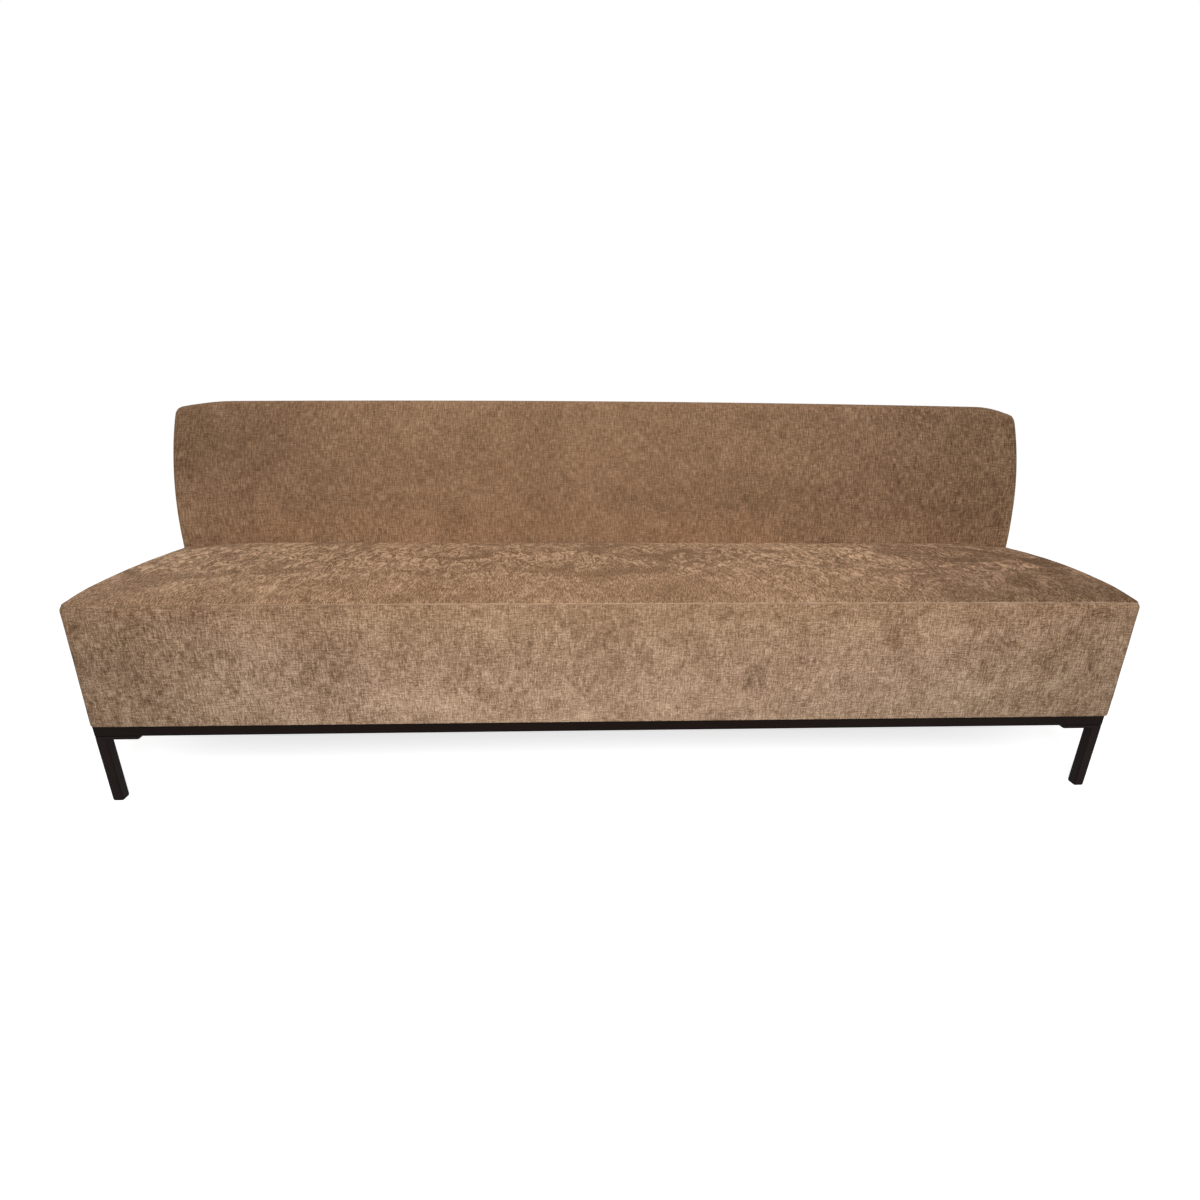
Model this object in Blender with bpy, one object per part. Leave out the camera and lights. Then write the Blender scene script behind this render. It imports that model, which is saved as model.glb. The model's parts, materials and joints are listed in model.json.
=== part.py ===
# Armless dining sofa: a padded bench seat and a curved padded back, on a black base with square legs.
# Metres, +Z up. The front faces -Y, and left means -X, as seen from the front.
# The origin is on the floor, under the middle of the sofa.

import math

import bmesh
import bpy
from mathutils import Matrix, Vector

# Body
FIT = 0.0003  # gap between two pieces that touch
SOFT_FIT = 0.0006  # gap between crowned foam and the cloth over it
LENGTH = 2.240  # over the fabric, end to end
SEAT_DEPTH = 0.447  # front of the seat to the face of the back
FABRIC = 0.003  # upholstery cloth with its lining

# Legs
LEG_HEIGHT = 0.155  # floor to the top of the tube
LEG_SIZE = 0.022  # outside of the square tube
LEG_WALL = 0.002
LEG_ROUNDING = 0.0025
GLIDE_FOOT = 0.003  # plastic foot below the tube
GLIDE_SETBACK = 0.0005  # foot inside the outline of the tube
GLIDE_PLUG = 0.016  # plug inside the tube
PLATE_THICKNESS = 0.007
PLATE_REACH = 0.045  # plate past the inner edge of the base rail
PLATE_ROUNDING = 0.003

# Leg screws
SCREW_RADIUS = 0.003
SCREW_HEAD_RADIUS = 0.006
SCREW_HEAD = 0.003
SCREW_COVER = 0.006  # timber left above the tip of the screw
HEAD_FLAT = 0.6  # flat share of a screw or bolt head

# Base frame
BASE_RAIL_WIDTH = 0.045
BASE_RAIL_HEIGHT = 0.0265
BASE_RAIL_ROUNDING = 0.0015
BASE_SETBACK_FRONT = 0.008  # base behind the fabric, front and rear
BASE_SETBACK_END = 0.004  # base inside the fabric at each end
CROSS_SPACING = 0.746  # between the middles of the two inner cross members

# Seat box
BOARD = 0.022  # thickness of the boards
BOARD_HEIGHT = 0.155
CROSS_BOARD_DROP = 0.030  # cross boards below the top of the box
CORNER_BLOCK = 0.050
CORNER_BLOCK_DROP = 0.040  # corner blocks below the top of the box
PADDING = 0.010  # on the front and end boards
WEBBING = 0.002
STRAP_WIDTH = 0.060
CROSS_STRAPS = 13
LONG_STRAPS = 3

# Seat cushion
SEAT_FOAM = 0.120  # thickness at its edges
SEAT_CORNER_RADIUS = 0.017
SEAT_EDGE_RADIUS = 0.014
SEAT_END_RISE = 0.008  # rise of each end edge at half depth
SEAT_CROWN = 0.014  # further rise of the middle
SEAT_CROWN_SWEEP = 2.1  # angle of the sine that shapes the crown, front to rear
FRONT_BULGE = 0.004  # front border at half height

# Back
BACK_THICKNESS = 0.090
BACK_TUCK = 0.045  # back foam below the top edge of the seat
BACK_FOAM = 0.040
BACK_CROWN = 0.008
BACK_EDGE_RADIUS = 0.022
BACK_CORNER_RADIUS = 0.030
TOP_CROWN = 0.010  # rise of the top edge at half length
CURVE_ABOVE_SEAT = 0.010  # where the face starts to lean
CURVE_RADIUS = 0.640
CURVE_LENGTH = 0.383  # along the face
PANEL = 0.004
RIB = 0.022
LOWER_BOARD = 0.018
TOP_RAIL = 0.040

# Connector bolts
BOLT_RADIUS = 0.004
BOLT_HEAD_RADIUS = 0.0085
BOLT_HEAD = 0.003
BOLT_TAIL = 0.003  # thread past the nut
NUT_RADIUS = 0.0075
NUT = 0.007

# Dust cover
DUST_COVER = 0.001
DUST_COVER_MARGIN = 0.012  # cloth inside the outline of the base
DUST_COVER_CLEARANCE = 0.003  # cloth cut round the leg plates

# Fineness of the curved surfaces
SMOOTH_ANGLE = math.radians(45)  # edges sharper than this stay creased
MERGE = 1e-6  # points closer than this are one
ROUND_STEPS = 12
EDGE_STEPS = 3
LENGTH_CUTS = 13
DEPTH_CUTS = 5
BORDER_CUTS = 3
CURVE_CUTS = 5

# Heights, stacked from the floor
HALF = LENGTH / 2
PLATE_Z = LEG_HEIGHT + FIT
BASE_Z = PLATE_Z + PLATE_THICKNESS + FIT
BODY_Z = BASE_Z + BASE_RAIL_HEIGHT + FIT
BOX_TOP = BODY_Z + BOARD_HEIGHT
FOAM_Z = BOX_TOP + FIT + WEBBING + FIT
INNER = FABRIC + FIT  # outside of a cover to what it wraps
FOAM_INNER = FABRIC + SOFT_FIT
SEAT_Z = FOAM_Z + SEAT_FOAM + FOAM_INNER

# Depths, from the front of the seat
BASE_REAR = SEAT_DEPTH + BACK_THICKNESS - BASE_SETBACK_FRONT
SEAT_REAR = SEAT_DEPTH - FIT
BOARD_EDGE = INNER + PADDING + FIT
REAR_BOARD = SEAT_REAR - INNER - BOARD

# The back is laid out flat, as depth into it and distance up its face, and then bent
CURVE_S = SEAT_Z + CURVE_ABOVE_SEAT - BODY_Z
BACK_S = CURVE_S + CURVE_LENGTH
TUCK_S = SEAT_Z - BACK_TUCK - BODY_Z
CROWN_S = SEAT_Z + SEAT_END_RISE + SEAT_CROWN - BODY_Z
RAIL_S = BACK_S - INNER - TOP_RAIL
ROUND_S = BACK_S - BACK_EDGE_RADIUS
PANEL_D = FOAM_INNER + BACK_FOAM + FIT
RIB_D = PANEL_D + PANEL + FIT
RIB_REAR_D = BACK_THICKNESS - INNER
LOWER_BOARD_REAR = INNER + LOWER_BOARD


def bend(point):
    # Where a point of the flat back, given as x, depth and distance up the face, lies on the curved one
    turn = max(0.0, point[2] - CURVE_S) / CURVE_RADIUS
    y = SEAT_DEPTH + CURVE_RADIUS - (CURVE_RADIUS - point[1]) * math.cos(turn)
    z = BODY_Z + min(point[2], CURVE_S) + (CURVE_RADIUS - point[1]) * math.sin(turn)
    return Vector((point[0], y, z))


def spread(low, high, count):
    # Evenly spaced values between low and high, without the two ends
    return [low + (high - low) * (i + 1) / (count + 1) for i in range(count)]


CURVE_STATIONS = sorted([CURVE_S, *spread(CURVE_S, RAIL_S, CURVE_CUTS), RAIL_S, ROUND_S])
REAR_MOST = bend((0.0, BACK_THICKNESS, BACK_S + TOP_CROWN)).y


def clear_scene():
    for old in list(bpy.data.objects):
        bpy.data.objects.remove(old, do_unlink=True)


def finish(name, colour, roughness, metallic=0.0):
    made = bpy.data.materials.new(name)
    made.use_nodes = True
    shader = made.node_tree.nodes["Principled BSDF"]
    shader.inputs["Base Color"].default_value = (*colour, 1.0)
    shader.inputs["Roughness"].default_value = roughness
    shader.inputs["Metallic"].default_value = metallic
    return made


def to_mesh(name, bm, smooth=False):
    mesh = bpy.data.meshes.new(name)
    bm.to_mesh(mesh)
    bm.free()
    if smooth:
        mesh.shade_smooth()
        mesh.set_sharp_from_angle(angle=SMOOTH_ANGLE)
    return mesh


def place(name, mesh, material, location=(0.0, 0.0, 0.0), rotation=(0.0, 0.0, 0.0)):
    piece = bpy.data.objects.new(name, mesh)
    bpy.context.scene.collection.objects.link(piece)
    piece.location = location
    piece.rotation_euler = rotation
    piece.parent = bpy.data.objects["sofa"]
    if material and not mesh.materials:
        mesh.materials.append(material)
    return piece


def block(low, high):
    low = Vector(low)
    high = Vector(high)
    bm = bmesh.new()
    grow = Matrix.Diagonal((*(high - low), 1.0))
    bmesh.ops.create_cube(bm, size=1.0, matrix=Matrix.Translation((low + high) / 2) @ grow)
    return bm


def runs_along(edge, axis):
    step = edge.verts[1].co - edge.verts[0].co
    return step.length - abs(step[axis]) < MERGE


def lies_at(element, axis, value):
    return all(abs(v.co[axis] - value) < MERGE for v in element.verts)


def round_edges(bm, edges, radius, steps=EDGE_STEPS):
    bmesh.ops.bevel(
        bm, geom=edges, offset=radius, affect="EDGES", segments=steps, profile=0.5, material=-1
    )


def cut_across(bm, axis, values):
    normal = Vector((0.0, 0.0, 0.0))
    normal[axis] = 1.0
    for value in values:
        everything = [*bm.verts, *bm.edges, *bm.faces]
        bmesh.ops.bisect_plane(bm, geom=everything, dist=MERGE, plane_co=normal * value, plane_no=normal)


def outline_prism(points, run):
    # A flat outline pushed along run
    bm = bmesh.new()
    face = bm.faces.new([bm.verts.new(p) for p in points])
    pushed = bmesh.ops.extrude_face_region(bm, geom=[face], use_keep_orig=True)
    moved = [v for v in pushed["geom"] if isinstance(v, bmesh.types.BMVert)]
    bmesh.ops.translate(bm, vec=run, verts=moved)
    bmesh.ops.recalc_face_normals(bm, faces=bm.faces)
    return bm


def turned(profile, closed=False):
    # A profile of radius and height points turned round Z
    bm = bmesh.new()
    verts = [bm.verts.new((r, 0.0, z)) for r, z in profile]
    edges = [bm.edges.new(pair) for pair in zip(verts, verts[1:])]
    if closed:
        edges.append(bm.edges.new((verts[-1], verts[0])))
    bmesh.ops.spin(
        bm, geom=[*verts, *edges], axis=(0, 0, 1), angle=math.tau, steps=ROUND_STEPS, use_merge=True
    )
    bmesh.ops.remove_doubles(bm, verts=bm.verts, dist=MERGE)
    bmesh.ops.recalc_face_normals(bm, faces=bm.faces)
    return bm


def headed_pin(radius, length, head_radius, head):
    # Shank up from Z 0, domed head below it
    return turned([
        (0.0, -head),
        (head_radius * HEAD_FLAT, -head),
        (head_radius, -head / 2),
        (head_radius, 0.0),
        (radius, 0.0),
        (radius, length),
        (0.0, length),
    ])


def board(name, low, high, material, rounding=0.0):
    bm = block(low, high)
    if rounding:
        round_edges(bm, bm.edges[:], rounding, 1)
    return place(name, to_mesh(name, bm), material)


def drill(piece, cutter):
    holes = piece.modifiers.new("holes", "BOOLEAN")
    holes.operation = "DIFFERENCE"
    holes.solver = "EXACT"
    holes.object = cutter


def hole_cutter(name, radius, low, high, places, rotation=(0.0, 0.0, 0.0)):
    # One guide object with a cylinder at each place, from low to high along its own Z
    bm = bmesh.new()
    for x, y, z in places:
        spot = Matrix.Translation((x, y, z)) @ Matrix.Rotation(rotation[0], 4, "X")
        middle = Matrix.Translation((0.0, 0.0, (low + high) / 2))
        bmesh.ops.create_cone(
            bm, cap_ends=True, segments=ROUND_STEPS, radius1=radius, radius2=radius, depth=high - low,
            matrix=spot @ middle
        )
    cutter = place(name, to_mesh(name, bm), None)
    cutter.hide_render = True
    cutter.display_type = "WIRE"
    return cutter


def wrap(piece):
    # Cloth thickness, inwards from the surface that shows
    cloth = piece.modifiers.new("cloth", "SOLIDIFY")
    cloth.thickness = FABRIC
    cloth.offset = -1.0
    cloth.use_even_offset = True
    cloth.use_rim = True


def corner_places():
    # Name, outer corner of the base, and the directions from there into the sofa
    x = HALF - BASE_SETBACK_END
    for row, y, inward in (("front", BASE_SETBACK_FRONT, 1.0), ("rear", BASE_REAR, -1.0)):
        yield f"{row}_left", Vector((-x, y, 0.0)), Vector((1.0, inward, 0.0))
        yield f"{row}_right", Vector((x, y, 0.0)), Vector((-1.0, inward, 0.0))


def screw_places(corner, into):
    # One screw in the long rail and one in the end rail, on the middle of the plate's reach
    along = BASE_RAIL_WIDTH + PLATE_REACH / 2
    across = BASE_RAIL_WIDTH / 2
    for dx, dy in ((along, across), (across, along)):
        yield corner + Vector((dx * into.x, dy * into.y, PLATE_Z - FIT))


def leg_tube_mesh():
    half = LEG_SIZE / 2
    low = GLIDE_FOOT + FIT
    bm = block((-half, -half, low), (half, half, LEG_HEIGHT))
    round_edges(bm, [e for e in bm.edges if runs_along(e, 2)], LEG_ROUNDING, 2)
    ends = [f for f in bm.faces if lies_at(f, 2, low) or lies_at(f, 2, LEG_HEIGHT)]
    bmesh.ops.inset_individual(bm, faces=ends, thickness=LEG_WALL, use_even_offset=True)
    rims = [e for f in ends for e in f.edges]
    bmesh.ops.delete(bm, geom=ends, context="FACES_ONLY")
    bmesh.ops.bridge_loops(bm, edges=rims)
    bmesh.ops.recalc_face_normals(bm, faces=bm.faces)
    return to_mesh("leg_tube", bm, smooth=True)


def leg_glide_mesh():
    half = LEG_SIZE / 2 - GLIDE_SETBACK
    bm = block((-half, -half, 0.0), (half, half, GLIDE_FOOT))
    round_edges(bm, [e for e in bm.edges if runs_along(e, 2)], LEG_ROUNDING, 2)
    top = [f for f in bm.faces if lies_at(f, 2, GLIDE_FOOT)]
    shoulder = LEG_WALL + FIT - GLIDE_SETBACK
    bmesh.ops.inset_individual(bm, faces=top, thickness=shoulder, use_even_offset=True)
    plug = bmesh.ops.extrude_discrete_faces(bm, faces=top)["faces"][0]
    bmesh.ops.translate(bm, vec=(0.0, 0.0, GLIDE_PLUG), verts=plug.verts)
    return to_mesh("leg_glide", bm, smooth=True)


def leg_plate_mesh():
    half = (BASE_RAIL_WIDTH + PLATE_REACH) / 2
    bm = block((-half, -half, PLATE_Z), (half, half, PLATE_Z + PLATE_THICKNESS))
    round_edges(bm, [e for e in bm.edges if runs_along(e, 2)], PLATE_ROUNDING, 2)
    return to_mesh("leg_plate", bm)


def build_legs(steel, plastic, fixing):
    tube = leg_tube_mesh()
    glide = leg_glide_mesh()
    plate = leg_plate_mesh()
    bite = BASE_RAIL_HEIGHT - SCREW_COVER
    length = FIT + PLATE_THICKNESS + FIT + bite
    pin = headed_pin(SCREW_RADIUS, length, SCREW_HEAD_RADIUS, SCREW_HEAD)
    screw = to_mesh("leg_screw", pin, smooth=True)
    spots = [spot for _, corner, into in corner_places() for spot in screw_places(corner, into)]
    cutter = hole_cutter("screw_holes", SCREW_RADIUS + FIT, -FIT, length + FIT, spots)
    for name, corner, into in corner_places():
        middle = corner + into * (LEG_SIZE / 2)
        place(f"leg_tube_{name}", tube, steel, middle)
        place(f"leg_glide_{name}", glide, plastic, middle)
        plate_middle = corner + into * ((BASE_RAIL_WIDTH + PLATE_REACH) / 2)
        drill(place(f"leg_plate_{name}", plate, steel, plate_middle), cutter)
        for number, spot in enumerate(screw_places(corner, into), 1):
            place(f"leg_screw_{name}_{number}", screw, fixing, spot)
    return cutter


def build_base(lacquer, cutter):
    x = HALF - BASE_SETBACK_END
    top = BASE_Z + BASE_RAIL_HEIGHT
    front = BASE_SETBACK_FRONT
    for name, y in (("front", front), ("rear", BASE_REAR - BASE_RAIL_WIDTH)):
        low = (-x, y, BASE_Z)
        high = (x, y + BASE_RAIL_WIDTH, top)
        drill(board(f"base_rail_{name}", low, high, lacquer, BASE_RAIL_ROUNDING), cutter)
    near = front + BASE_RAIL_WIDTH + FIT
    far = BASE_REAR - BASE_RAIL_WIDTH - FIT
    ends = x - BASE_RAIL_WIDTH / 2
    for name, middle in (("rail_left", -ends), ("rail_right", ends)):
        low = (middle - BASE_RAIL_WIDTH / 2, near, BASE_Z)
        high = (middle + BASE_RAIL_WIDTH / 2, far, top)
        drill(board(f"base_{name}", low, high, lacquer, BASE_RAIL_ROUNDING), cutter)
    for name, middle in (("left", -CROSS_SPACING / 2), ("right", CROSS_SPACING / 2)):
        low = (middle - BASE_RAIL_WIDTH / 2, near, BASE_Z)
        high = (middle + BASE_RAIL_WIDTH / 2, far, top)
        board(f"base_crossbar_{name}", low, high, lacquer, BASE_RAIL_ROUNDING)


def build_seat_box(timber, bolt_holes):
    x = HALF - BOARD_EDGE
    near = BOARD_EDGE + BOARD + FIT
    far = REAR_BOARD - FIT
    board("seat_board_front", (-x, BOARD_EDGE, BODY_Z), (x, BOARD_EDGE + BOARD, BOX_TOP), timber)
    rear = board("seat_board_rear", (-x, REAR_BOARD, BODY_Z), (x, REAR_BOARD + BOARD, BOX_TOP), timber)
    drill(rear, bolt_holes)
    board("seat_board_left", (-x, near, BODY_Z), (-x + BOARD, far, BOX_TOP), timber)
    board("seat_board_right", (x - BOARD, near, BODY_Z), (x, far, BOX_TOP), timber)
    for name, middle in (("left", -CROSS_SPACING / 2), ("right", CROSS_SPACING / 2)):
        low = (middle - BOARD / 2, near, BODY_Z)
        high = (middle + BOARD / 2, far, BOX_TOP - CROSS_BOARD_DROP)
        board(f"seat_crossboard_{name}", low, high, timber)
    inside = x - BOARD - FIT
    height = Vector((0.0, 0.0, BOARD_HEIGHT - CORNER_BLOCK_DROP))
    for name, cx, cy, dx, dy in (
        ("front_left", -inside, near, 1, 1),
        ("front_right", inside, near, -1, 1),
        ("rear_left", -inside, far, 1, -1),
        ("rear_right", inside, far, -1, -1),
    ):
        corner = Vector((cx, cy, BODY_Z))
        along = Vector((dx * CORNER_BLOCK, 0.0, 0.0))
        across = Vector((0.0, dy * CORNER_BLOCK, 0.0))
        triangle = [corner, corner + along, corner + across]
        node = f"seat_corner_block_{name}"
        place(node, to_mesh(node, outline_prism(triangle, height)), timber)


def strap_edges(low, high, count):
    # Edges of evenly spaced straps, with the two ends of the panel
    pitch = (high - low) / count
    middles = [low + pitch * (i + 0.5) for i in range(count)]
    return [low, *(m + side * STRAP_WIDTH / 2 for m in middles for side in (-1, 1)), high]


def build_webbing(cloth):
    xs = strap_edges(-HALF + BOARD_EDGE, HALF - BOARD_EDGE, CROSS_STRAPS)
    ys = strap_edges(BOARD_EDGE, REAR_BOARD + BOARD, LONG_STRAPS)
    columns = len(xs) - 1
    rows = len(ys) - 1
    bm = bmesh.new()
    bmesh.ops.create_grid(bm, x_segments=columns, y_segments=rows, size=1.0)
    gaps = []
    for face in bm.faces:
        middle = face.calc_center_median()
        column = int((middle.x + 1) / 2 * columns)
        row = int((middle.y + 1) / 2 * rows)
        if column % 2 == 0 and row % 2 == 0:
            gaps.append(face)
    for v in bm.verts:
        column = round((v.co.x + 1) / 2 * columns)
        row = round((v.co.y + 1) / 2 * rows)
        v.co = (xs[column], ys[row], BOX_TOP + FIT)
    bmesh.ops.delete(bm, geom=gaps, context="FACES")
    straps = place("seat_webbing", to_mesh("seat_webbing", bm), cloth).modifiers.new("cloth", "SOLIDIFY")
    straps.thickness = WEBBING
    straps.offset = 1.0


def seat_form(inset, low, border_cuts=0):
    # The crowned block of the seat, set in from the outside of its cover
    half = HALF - inset
    rear = SEAT_REAR - inset
    top = SEAT_Z - inset
    arc = SEAT_CORNER_RADIUS
    bm = block((-half, inset, low), (half, rear, top))
    round_edges(bm, [e for e in bm.edges if runs_along(e, 2) and lies_at(e, 1, inset)], arc - inset)
    round_edges(bm, [e for e in bm.edges if lies_at(e, 2, top)], SEAT_EDGE_RADIUS - inset)
    cut_across(bm, 0, spread(-HALF + arc, HALF - arc, LENGTH_CUTS))
    cut_across(bm, 1, spread(arc, SEAT_REAR - arc, DEPTH_CUTS))
    cut_across(bm, 2, spread(low, top, border_cuts))
    bulge = FRONT_BULGE if border_cuts else 0.0
    for v in bm.verts:
        along = v.co.x / half
        deep = (v.co.y - inset) / (rear - inset)
        up = (v.co.z - low) / (top - low)
        at_front = max(0.0, 1.0 - (v.co.y - inset) / arc)
        lift = SEAT_END_RISE * math.sin(math.pi * deep)
        lift += SEAT_CROWN * (1.0 - along ** 2) * math.sin(SEAT_CROWN_SWEEP * deep)
        share = (v.co.z - FOAM_Z) / (SEAT_Z - SEAT_EDGE_RADIUS - FOAM_Z)
        v.co.y -= bulge * (1.0 - along ** 4) * math.sin(math.pi * up) * at_front
        v.co.z += lift * min(1.0, max(0.0, share))
    return bm


def build_seat_cushion(foam, cloth, bolt_holes):
    place("seat_foam", to_mesh("seat_foam", seat_form(FOAM_INNER, FOAM_Z), smooth=True), foam)
    x = HALF - SEAT_CORNER_RADIUS
    board("seat_padding_front", (-x, INNER, BODY_Z), (x, INNER + PADDING, BOX_TOP), foam)
    end = HALF - INNER
    for name, low_x, high_x in (("left", -end, -end + PADDING), ("right", end - PADDING, end)):
        low = (low_x, SEAT_CORNER_RADIUS, BODY_Z)
        high = (high_x, SEAT_REAR - INNER, BOX_TOP)
        board(f"seat_padding_{name}", low, high, foam)
    bm = seat_form(0.0, BODY_Z, BORDER_CUTS)
    bmesh.ops.delete(bm, geom=[f for f in bm.faces if lies_at(f, 2, BODY_Z)], context="FACES")
    cover = place("seat_cover", to_mesh("seat_cover", bm, smooth=True), cloth)
    wrap(cover)
    drill(cover, bolt_holes)


def back_form(inset, near, far, low, soft=False, crowned=False):
    # A layer of the flat back between two depths, with round top corners; a soft one has a rounded face
    # Bending draws the deeper layers together, so their inset from the top is wider
    half = HALF - inset
    top = BACK_S - inset * CURVE_RADIUS / (CURVE_RADIUS - far)
    bm = block((-half, near, low), (half, far, top))
    corners = [e for e in bm.edges if runs_along(e, 1) and lies_at(e, 2, top)]
    round_edges(bm, corners, BACK_CORNER_RADIUS if soft else BACK_CORNER_RADIUS - inset)
    if soft:
        rim = [e for e in bm.edges if lies_at(e, 1, near) and not lies_at(e, 2, low)]
        round_edges(bm, rim, BACK_EDGE_RADIUS - inset)
    cut_across(bm, 2, [s for s in CURVE_STATIONS if low < s < top])
    if crowned:
        cut_across(bm, 0, spread(-HALF + BACK_CORNER_RADIUS, HALF - BACK_CORNER_RADIUS, LENGTH_CUTS))
        for v in bm.verts:
            middle = 1.0 - (v.co.x / half) ** 2
            up = min(1.0, max(0.0, (v.co.z - CROWN_S) / (ROUND_S - CROWN_S)))
            at_face = max(0.0, 1.0 - (v.co.y - near) / BACK_FOAM) if soft else 0.0
            v.co.y -= BACK_CROWN * middle * math.sin(math.pi * up) * at_face
            if v.co.z > ROUND_S - FIT:
                v.co.z += TOP_CROWN * middle
    return bm


def bent(bm):
    for v in bm.verts:
        v.co = bend(v.co)
    return bm


def rib_form(x):
    # A rib with a shoulder below the foam, cut to the curve of the back
    top = RAIL_S - FIT
    curve = [s for s in CURVE_STATIONS if s < top]
    front = [(LOWER_BOARD_REAR + FIT, 0.0), (LOWER_BOARD_REAR + FIT, TUCK_S)]
    front += [(RIB_D, s) for s in (TUCK_S, *curve, top)]
    rear = [(RIB_REAR_D, s) for s in (top, *reversed(curve), 0.0)]
    points = [bend((x - RIB / 2, d, s)) for d, s in front + rear]
    return outline_prism(points, Vector((RIB, 0.0, 0.0)))


def build_back(timber, plywood, foam, cloth, bolt_holes):
    outer = HALF - INNER - RIB / 2
    inner = CROSS_SPACING / 2
    for name, x in (("left", -outer), ("mid_left", -inner), ("mid_right", inner), ("right", outer)):
        node = f"back_rib_{name}"
        place(node, to_mesh(node, rib_form(x)), plywood)
    x = HALF - BACK_EDGE_RADIUS
    low = (-x, SEAT_DEPTH + INNER, BODY_Z)
    high = (x, SEAT_DEPTH + LOWER_BOARD_REAR, BODY_Z + TUCK_S)
    drill(board("back_lower_board", low, high, timber), bolt_holes)
    rest = TUCK_S + FIT
    rail = bent(back_form(INNER, RIB_D, RIB_REAR_D, RAIL_S))
    place("back_top_rail", to_mesh("back_top_rail", rail), timber)
    panel = bent(back_form(INNER, PANEL_D, PANEL_D + PANEL, rest))
    place("back_panel", to_mesh("back_panel", panel, smooth=True), plywood)
    pad = bent(back_form(FOAM_INNER, FOAM_INNER, FOAM_INNER + BACK_FOAM, rest, soft=True, crowned=True))
    place("back_foam", to_mesh("back_foam", pad, smooth=True), foam)
    rear = bent(back_form(INNER, BACK_THICKNESS - FABRIC, BACK_THICKNESS, 0.0, crowned=True))
    place("back_outer_cover", to_mesh("back_outer_cover", rear, smooth=True), cloth)
    hood = back_form(0.0, 0.0, BACK_THICKNESS, 0.0, soft=True, crowned=True)
    openings = [f for f in hood.faces if lies_at(f, 1, BACK_THICKNESS) or lies_at(f, 2, 0.0)]
    bmesh.ops.delete(hood, geom=openings, context="FACES")
    cover = place("back_cover", to_mesh("back_cover", bent(hood), smooth=True), cloth)
    wrap(cover)
    drill(cover, bolt_holes)


def build_bolts(fixing):
    # Through the rear seat board, both covers and the lower board of the back; the head faces the front
    seat_side = REAR_BOARD - FIT
    nut_side = SEAT_DEPTH + LOWER_BOARD_REAR + FIT
    length = nut_side + NUT + BOLT_TAIL - seat_side
    turn = (-math.pi / 2, 0.0, 0.0)
    height = BODY_Z + BOARD_HEIGHT / 2
    side = (CROSS_SPACING / 2 + HALF - INNER - RIB) / 2
    pin = headed_pin(BOLT_RADIUS, length, BOLT_HEAD_RADIUS, BOLT_HEAD)
    bolt = to_mesh("back_bolt", pin, smooth=True)
    bore = BOLT_RADIUS + FIT
    ring = [(bore, 0.0), (NUT_RADIUS, 0.0), (NUT_RADIUS, NUT), (bore, NUT)]
    nut = to_mesh("back_nut", turned(ring, closed=True), smooth=True)
    spots = []
    for name, x in (("left", -side), ("middle", 0.0), ("right", side)):
        spots.append((x, seat_side, height))
        place(f"back_bolt_{name}", bolt, fixing, spots[-1], turn)
        place(f"back_nut_{name}", nut, fixing, (x, nut_side, height), turn)
    return hole_cutter("bolt_holes", bore, -FIT, length, spots, turn)


def build_dust_cover(cloth):
    # A sheet under the base, notched round the leg plates
    x = HALF - BASE_SETBACK_END
    margin = DUST_COVER_MARGIN
    notch = BASE_RAIL_WIDTH + PLATE_REACH + DUST_COVER_CLEARANCE
    front = BASE_SETBACK_FRONT
    low = BASE_Z - FIT - DUST_COVER
    quarter = [(x - margin, notch), (x - notch, notch), (x - notch, margin)]
    points = [(px, front + py, low) for px, py in quarter]
    points += [(-px, front + py, low) for px, py in reversed(quarter)]
    points += [(-px, BASE_REAR - py, low) for px, py in quarter]
    points += [(px, BASE_REAR - py, low) for px, py in reversed(quarter)]
    sheet = outline_prism(points, Vector((0.0, 0.0, DUST_COVER)))
    place("dust_cover", to_mesh("dust_cover", sheet), cloth)


def build_sofa():
    clear_scene()
    # The sofa's empty stands below the front of the seat, so that the origin falls under the middle
    sofa = bpy.data.objects.new("sofa", None)
    bpy.context.scene.collection.objects.link(sofa)
    sofa.location = (0.0, (FRONT_BULGE - REAR_MOST) / 2, 0.0)

    steel = finish("black_powder_coat", (0.012, 0.010, 0.010), 0.45)
    plastic = finish("black_plastic", (0.010, 0.010, 0.010), 0.55)
    zinc = finish("zinc_plate", (0.55, 0.55, 0.56), 0.35, 1.0)
    lacquer = finish("black_lacquer", (0.015, 0.012, 0.010), 0.40)
    timber = finish("pine", (0.62, 0.44, 0.26), 0.70)
    plywood = finish("birch_plywood", (0.66, 0.50, 0.32), 0.65)
    strap = finish("webbing", (0.06, 0.05, 0.045), 0.85)
    foam = finish("foam", (0.82, 0.76, 0.58), 0.95)
    chenille = finish("taupe_chenille", (0.30, 0.19, 0.115), 0.90)
    cambric = finish("black_cambric", (0.012, 0.012, 0.012), 0.95)

    screw_holes = build_legs(steel, plastic, zinc)
    build_base(lacquer, screw_holes)
    bolt_holes = build_bolts(zinc)
    build_seat_box(timber, bolt_holes)
    build_webbing(strap)
    build_seat_cushion(foam, chenille, bolt_holes)
    build_back(timber, plywood, foam, chenille, bolt_holes)
    build_dust_cover(cambric)


build_sofa()
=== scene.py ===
import json
import math

import bmesh
import bpy
from mathutils import Matrix, Vector, noise


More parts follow.
